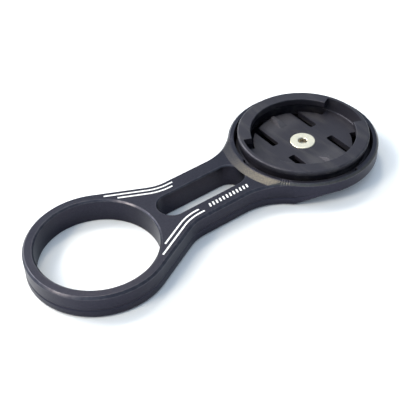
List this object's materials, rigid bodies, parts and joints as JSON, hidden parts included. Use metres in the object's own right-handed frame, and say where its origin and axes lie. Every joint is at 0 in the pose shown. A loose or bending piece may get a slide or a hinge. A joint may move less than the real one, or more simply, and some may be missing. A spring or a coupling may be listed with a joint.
{
  "type": "bicycle computer mount",
  "caption": "Flat arm that joins a steerer-tube spacer ring to a round cup, whose screwed-in plastic insert holds a cycling computer by a quarter-turn twist lock with spring tongues.",
  "frame": {"origin": "centre of the overall footprint, on the plane of the spacer ring's lower face", "axes": "+X runs along the arm from the spacer ring to the cup, +Z is the axis of the ring and of the cup and points out of the cup's mouth, +Y completes the right-handed frame"},
  "size_m": [0.0974, 0.038, 0.0088],
  "materials": {
    "anodised_aluminium": "satin black anodised, with machined chamfers",
    "moulded_plastic": "fine-textured black glass-filled nylon",
    "screw_steel": "bright plated"
  },
  "bodies": {
    "mount": {"mount_arm": "anodised_aluminium", "twist_lock_insert": "moulded_plastic", "centre_screw": "screw_steel"},
    "tongue_left": {"detent_tongue_left": "moulded_plastic"},
    "tongue_right": {"detent_tongue_right": "moulded_plastic"}
  },
  "joints": [
    {"name": "tongue_left_flex", "type": "hinge", "parent": "mount", "child": "tongue_left", "pos_m": [0.02965, 0.0036, 0.0048], "axis": [-1, 0, 0], "range_deg": [0, 6], "stiffness_Nm_per_rad": 0.08},
    {"name": "tongue_right_flex", "type": "hinge", "parent": "mount", "child": "tongue_right", "pos_m": [0.02965, -0.0036, 0.0048], "axis": [1, 0, 0], "range_deg": [0, 6], "stiffness_Nm_per_rad": 0.08}
  ]
}
